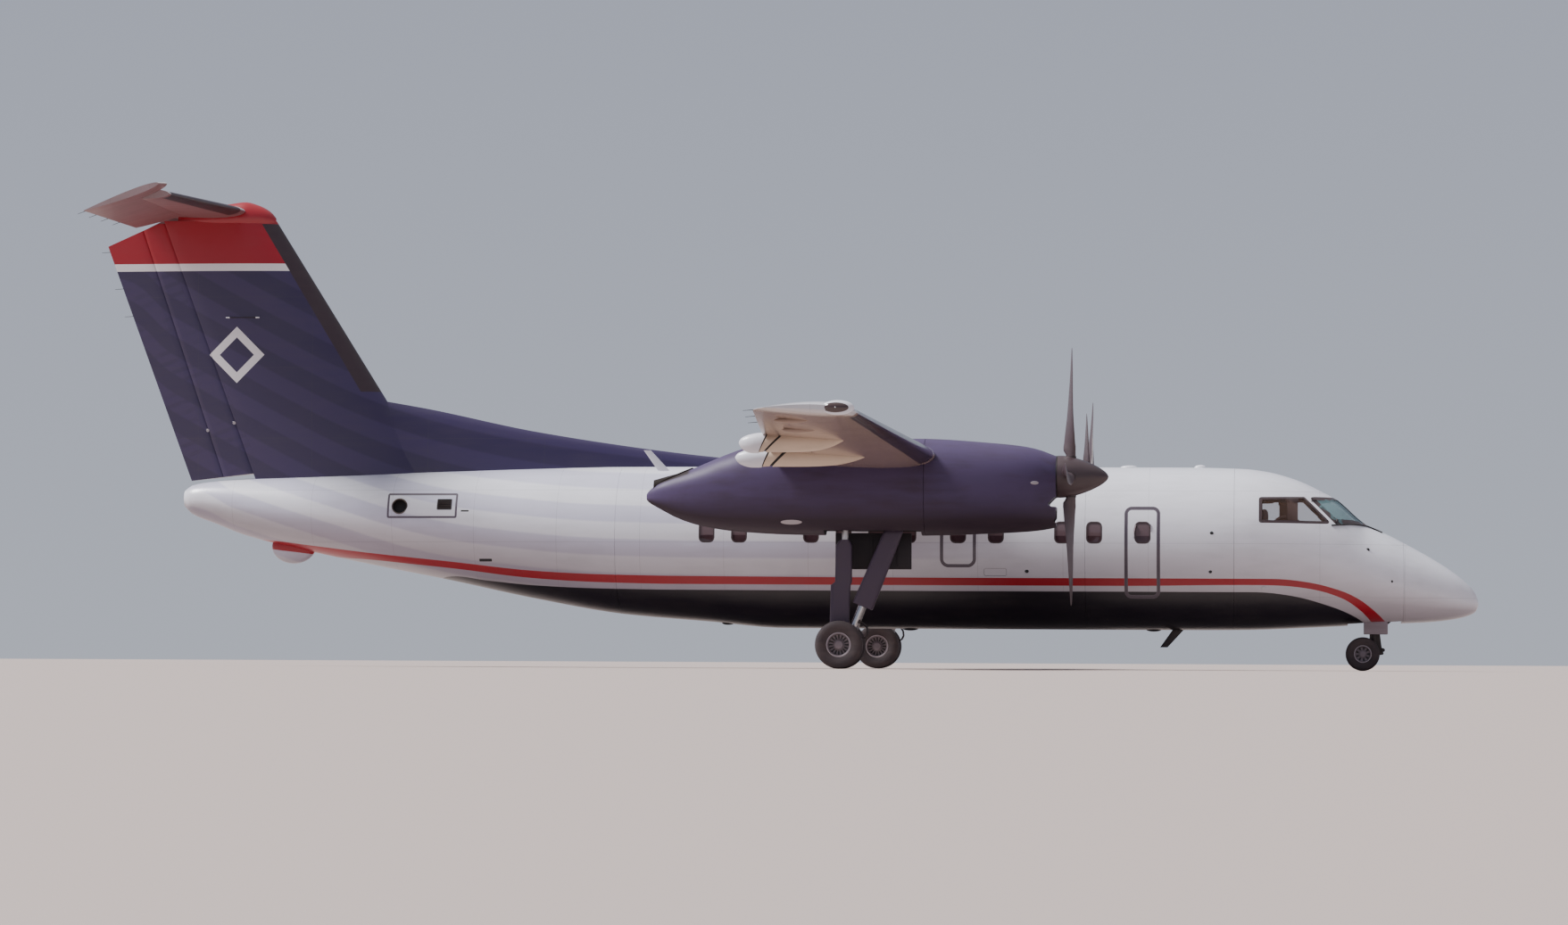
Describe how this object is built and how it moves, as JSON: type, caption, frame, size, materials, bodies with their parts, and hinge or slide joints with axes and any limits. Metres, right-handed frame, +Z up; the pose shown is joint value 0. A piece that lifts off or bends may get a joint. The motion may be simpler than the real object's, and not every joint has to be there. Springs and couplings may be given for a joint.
{
  "type": "turboprop airliner",
  "caption": "High-wing regional airliner with two propeller engines, a T-tail and twin-wheel landing gear, parked, with a hollow cockpit, an airstair door and working control surfaces.",
  "frame": {"origin": "on the ground, below the middle of the aircraft's length and span", "axes": "+X forward to the nose, +Y to port (left wing), +Z up"},
  "size_m": [22.25, 25.9, 7.5796],
  "materials": {
    "hull_white": "gloss, cool white",
    "navy": "gloss, deep blue",
    "surface_tan": "satin, warm grey",
    "prop_dark": "satin, dark brown-grey",
    "gear_metal": "satin, light grey",
    "gear_navy": "satin, deep blue",
    "oleo": "polished",
    "engine": "matt",
    "rubber": "matt",
    "pane": "clear, grey tint",
    "inside": "matt, dark grey"
  },
  "bodies": {
    "airframe": {"radome": "hull_white", "fuselage_cockpit": "hull_white", "fuselage_front": "hull_white", "fuselage_centre": "hull_white", "fuselage_rear": "hull_white", "windshield_left": "pane", "windshield_right": "pane", "side_window_left": "pane", "side_window_right": "pane", "instrument_panel": "inside", "pilot_seat_left": "inside", "pilot_seat_right": "inside", "exit_front_right": "hull_white", "baggage_door": "hull_white", "wing_centre": "hull_white", "wing_left": "surface_tan", "wing_right": "surface_tan", "flap_left": "surface_tan", "flap_right": "surface_tan", "nacelle_front_left": "navy", "nacelle_front_right": "navy", "nacelle_rear_left": "navy", "nacelle_rear_right": "navy", "engine_left": "engine", "engine_right": "engine", "fin": "navy", "tailplane": "hull_white", "main_strut_left": "gear_navy", "main_strut_right": "gear_navy", "main_piston_left": "oleo", "main_piston_right": "oleo", "drag_strut_left": "gear_navy", "drag_strut_right": "gear_navy", "main_door_left": "prop_dark", "main_door_right": "prop_dark", "nose_leg": "gear_metal"},
    "propeller_left": {"spinner_left": "prop_dark", "propeller_left": "prop_dark"},
    "propeller_right": {"spinner_right": "prop_dark", "propeller_right": "prop_dark"},
    "main_wheels_left": {"main_wheels_left": "gear_metal", "main_tyre_left_port": "rubber", "main_tyre_left_starboard": "rubber"},
    "main_wheels_right": {"main_wheels_right": "gear_metal", "main_tyre_right_port": "rubber", "main_tyre_right_starboard": "rubber"},
    "nose_steering": {"nose_fork": "gear_metal"},
    "nose_wheels": {"nose_wheels": "gear_metal", "nose_tyre_port": "rubber", "nose_tyre_starboard": "rubber"},
    "airstair": {"airstair_door": "hull_white"},
    "rudder_fore": {"rudder_fore": "navy"},
    "rudder_trailing": {"rudder_trailing": "navy"},
    "elevator_left": {"elevator_left": "hull_white"},
    "elevator_right": {"elevator_right": "hull_white"},
    "aileron_left": {"aileron_left": "hull_white"},
    "aileron_right": {"aileron_right": "hull_white"}
  },
  "joints": [
    {"name": "propeller_left", "type": "hinge", "parent": "airframe", "child": "propeller_left", "pos_m": [4.79, 3.935, 2.965], "axis": [1, 0, 0], "continuous": true},
    {"name": "propeller_right", "type": "hinge", "parent": "airframe", "child": "propeller_right", "pos_m": [4.79, -3.935, 2.965], "axis": [1, 0, 0], "continuous": true},
    {"name": "main_wheels_left", "type": "hinge", "parent": "airframe", "child": "main_wheels_left", "pos_m": [1.24, 3.935, 0.37], "axis": [0, 1, 0], "continuous": true},
    {"name": "main_wheels_right", "type": "hinge", "parent": "airframe", "child": "main_wheels_right", "pos_m": [1.24, -3.935, 0.37], "axis": [0, 1, 0], "continuous": true},
    {"name": "nose_steering", "type": "hinge", "parent": "airframe", "child": "nose_steering", "pos_m": [9.47, 0, 0.6], "axis": [0, 0, 1], "range_deg": [-60, 60]},
    {"name": "nose_wheels", "type": "hinge", "parent": "nose_steering", "child": "nose_wheels", "pos_m": [9.29, 0, 0.27], "axis": [0, 1, 0], "continuous": true},
    {"name": "airstair", "type": "hinge", "parent": "airframe", "child": "airstair", "pos_m": [5.8, 0.975, 1.076], "axis": [-1, 0, 0], "range_deg": [0, 112]},
    {"name": "rudder_fore", "type": "hinge", "parent": "airframe", "child": "rudder_fore", "pos_m": [-9.426, 0, 5.075], "axis": [-0.3444, 0, 0.9388], "range_deg": [-18, 18]},
    {"name": "rudder_trailing", "type": "hinge", "parent": "rudder_fore", "child": "rudder_trailing", "pos_m": [-9.878, 0, 5.075], "axis": [-0.3205, 0, 0.9472], "range_deg": [-18, 18]},
    {"name": "elevator_left", "type": "hinge", "parent": "airframe", "child": "elevator_left", "pos_m": [-9.85, 1.965, 7.4], "axis": [0, 1, 0], "range_deg": [0, 48]},
    {"name": "elevator_right", "type": "hinge", "parent": "airframe", "child": "elevator_right", "pos_m": [-9.85, -1.965, 7.4], "axis": [0, 1, 0], "range_deg": [0, 48]},
    {"name": "aileron_left", "type": "hinge", "parent": "airframe", "child": "aileron_left", "pos_m": [1.05588, 11.03, 3.53277], "axis": [0.0242, 0.9987, 0.0441], "range_deg": [-18, 18]},
    {"name": "aileron_right", "type": "hinge", "parent": "airframe", "child": "aileron_right", "pos_m": [1.05588, -11.03, 3.53277], "axis": [-0.0242, 0.9987, -0.0441], "range_deg": [-18, 18]}
  ],
  "couplings": [
    {"joint": "rudder_trailing", "follows": "rudder_fore", "ratio": 1},
    {"joint": "elevator_right", "follows": "elevator_left", "ratio": 1},
    {"joint": "aileron_right", "follows": "aileron_left", "ratio": -1}
  ]
}
